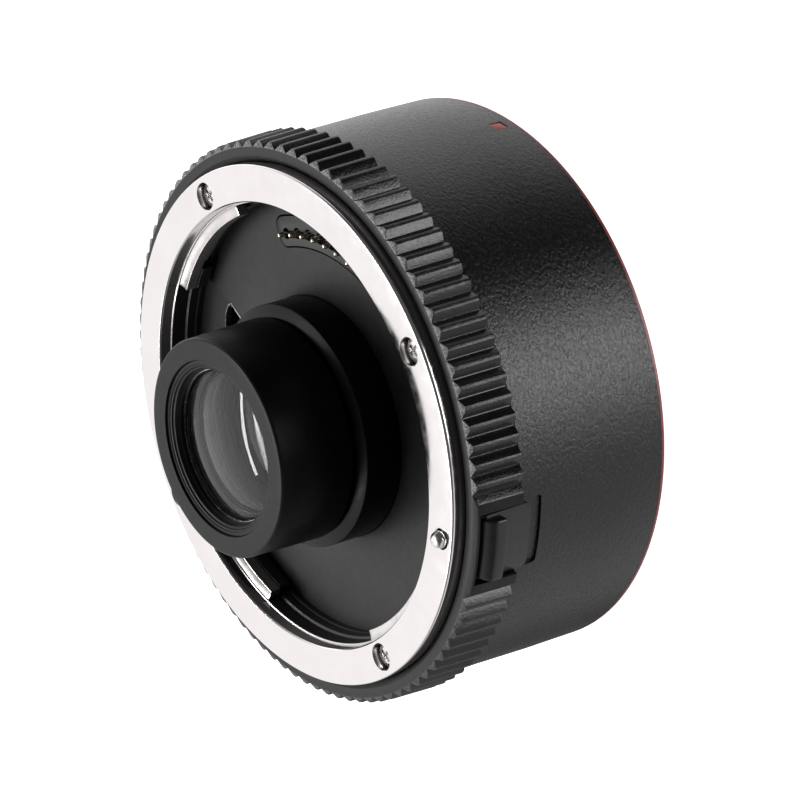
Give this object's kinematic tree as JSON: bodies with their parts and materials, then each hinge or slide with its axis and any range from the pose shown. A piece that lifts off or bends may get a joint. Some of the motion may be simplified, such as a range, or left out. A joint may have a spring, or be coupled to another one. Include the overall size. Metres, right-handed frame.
{
  "type": "camera teleconverter",
  "caption": "Round camera teleconverter with a bayonet socket and lens tube in front, a ribbed ring with a sprung release slider, and a male bayonet behind.",
  "frame": {"origin": "where the optical axis meets the camera-side seating plane", "axes": "+Z along the optical axis towards the lens side; +Y towards the middle of the contacts, near enough; +X towards the release slider, near enough"},
  "size_m": [0.0704, 0.0696, 0.0454],
  "materials": {
    "chrome_plate": "satin-bright plated seat",
    "screw_steel": "polished",
    "spring_steel": "bright spring stock",
    "crinkle_black": "fine wrinkled black coat",
    "slider_black": "smooth matte",
    "red_anodised": "satin red",
    "red_paint": "red enamel",
    "matte_black_metal": "flat black",
    "black_moulding": "moulded, satin",
    "frame_metal": "machined",
    "gold_plate": "gold flash over brass",
    "optical_glass": "coated",
    "green_board": "solder mask",
    "chip_body": "moulded",
    "amber_flex": "polyimide"
  },
  "bodies": {
    "converter_body": {"bayonet_leaf_spring": "spring_steel", "board_chips": "chip_body", "board_screws": "screw_steel", "contact_pin_sleeves": "gold_plate", "contact_pin_springs": "spring_steel", "flange_shim": "spring_steel", "front_baffle": "matte_black_metal", "front_bayonet_ring": "chrome_plate", "front_contact_block": "black_moulding", "front_contact_flex": "amber_flex", "front_doublet_crown": "optical_glass", "front_doublet_flint": "optical_glass", "front_lens_element": "optical_glass", "front_lens_tube": "matte_black_metal", "front_mount_screws": "screw_steel", "front_retaining_ring": "matte_black_metal", "front_spacer": "matte_black_metal", "grip_ring": "crinkle_black", "inner_chassis": "frame_metal", "lens_index_mark": "red_paint", "lens_tube_collar": "matte_black_metal", "light_stop": "matte_black_metal", "lock_spring": "spring_steel", "main_barrel": "crinkle_black", "main_circuit_board": "green_board", "middle_lens_element": "optical_glass", "middle_spacer": "matte_black_metal", "rear_bayonet_ring": "chrome_plate", "rear_contact_block": "black_moulding", "rear_contact_flex": "amber_flex", "rear_contact_pads": "gold_plate", "rear_doublet_crown": "optical_glass", "rear_doublet_flint": "optical_glass", "rear_field_element": "optical_glass", "rear_lens_cell": "matte_black_metal", "rear_lens_element": "optical_glass", "rear_light_baffle": "matte_black_metal", "rear_mount_screws": "screw_steel", "rear_retaining_ring": "matte_black_metal", "rear_spacer": "matte_black_metal", "red_trim_ring": "red_anodised", "throat_liner": "black_moulding"},
    "lens_release": {"release_slider": "slider_black", "slider_carrier": "frame_metal", "slider_screws": "screw_steel", "lock_pin": "screw_steel"},
    "contact_01": {"contact_pin_01": "gold_plate"},
    "contact_02": {"contact_pin_02": "gold_plate"},
    "contact_03": {"contact_pin_03": "gold_plate"},
    "contact_04": {"contact_pin_04": "gold_plate"},
    "contact_05": {"contact_pin_05": "gold_plate"},
    "contact_06": {"contact_pin_06": "gold_plate"},
    "contact_07": {"contact_pin_07": "gold_plate"},
    "contact_08": {"contact_pin_08": "gold_plate"},
    "contact_09": {"contact_pin_09": "gold_plate"},
    "contact_10": {"contact_pin_10": "gold_plate"},
    "contact_11": {"contact_pin_11": "gold_plate"}
  },
  "joints": [
    {"name": "release_slide", "type": "slide", "parent": "converter_body", "child": "lens_release", "axis": [0, 0, -1], "range_m": [0, 0.0017], "stiffness_N_per_m": 600, "springref_m": -0.001, "deforming": ["lock_spring"]},
    {"name": "contact_press_01", "type": "slide", "parent": "converter_body", "child": "contact_01", "axis": [0, 0, -1], "range_m": [0, 0.0007], "stiffness_N_per_m": 200, "springref_m": -0.0005, "deforming": ["contact_pin_springs"]},
    {"name": "contact_press_02", "type": "slide", "parent": "converter_body", "child": "contact_02", "axis": [0, 0, -1], "range_m": [0, 0.0007], "stiffness_N_per_m": 200, "springref_m": -0.0005, "deforming": ["contact_pin_springs"]},
    {"name": "contact_press_03", "type": "slide", "parent": "converter_body", "child": "contact_03", "axis": [0, 0, -1], "range_m": [0, 0.0007], "stiffness_N_per_m": 200, "springref_m": -0.0005, "deforming": ["contact_pin_springs"]},
    {"name": "contact_press_04", "type": "slide", "parent": "converter_body", "child": "contact_04", "axis": [0, 0, -1], "range_m": [0, 0.0007], "stiffness_N_per_m": 200, "springref_m": -0.0005, "deforming": ["contact_pin_springs"]},
    {"name": "contact_press_05", "type": "slide", "parent": "converter_body", "child": "contact_05", "axis": [0, 0, -1], "range_m": [0, 0.0007], "stiffness_N_per_m": 200, "springref_m": -0.0005, "deforming": ["contact_pin_springs"]},
    {"name": "contact_press_06", "type": "slide", "parent": "converter_body", "child": "contact_06", "axis": [0, 0, -1], "range_m": [0, 0.0007], "stiffness_N_per_m": 200, "springref_m": -0.0005, "deforming": ["contact_pin_springs"]},
    {"name": "contact_press_07", "type": "slide", "parent": "converter_body", "child": "contact_07", "axis": [0, 0, -1], "range_m": [0, 0.0007], "stiffness_N_per_m": 200, "springref_m": -0.0005, "deforming": ["contact_pin_springs"]},
    {"name": "contact_press_08", "type": "slide", "parent": "converter_body", "child": "contact_08", "axis": [0, 0, -1], "range_m": [0, 0.0007], "stiffness_N_per_m": 200, "springref_m": -0.0005, "deforming": ["contact_pin_springs"]},
    {"name": "contact_press_09", "type": "slide", "parent": "converter_body", "child": "contact_09", "axis": [0, 0, -1], "range_m": [0, 0.0007], "stiffness_N_per_m": 200, "springref_m": -0.0005, "deforming": ["contact_pin_springs"]},
    {"name": "contact_press_10", "type": "slide", "parent": "converter_body", "child": "contact_10", "axis": [0, 0, -1], "range_m": [0, 0.0007], "stiffness_N_per_m": 200, "springref_m": -0.0005, "deforming": ["contact_pin_springs"]},
    {"name": "contact_press_11", "type": "slide", "parent": "converter_body", "child": "contact_11", "axis": [0, 0, -1], "range_m": [0, 0.0007], "stiffness_N_per_m": 200, "springref_m": -0.0005, "deforming": ["contact_pin_springs"]}
  ]
}
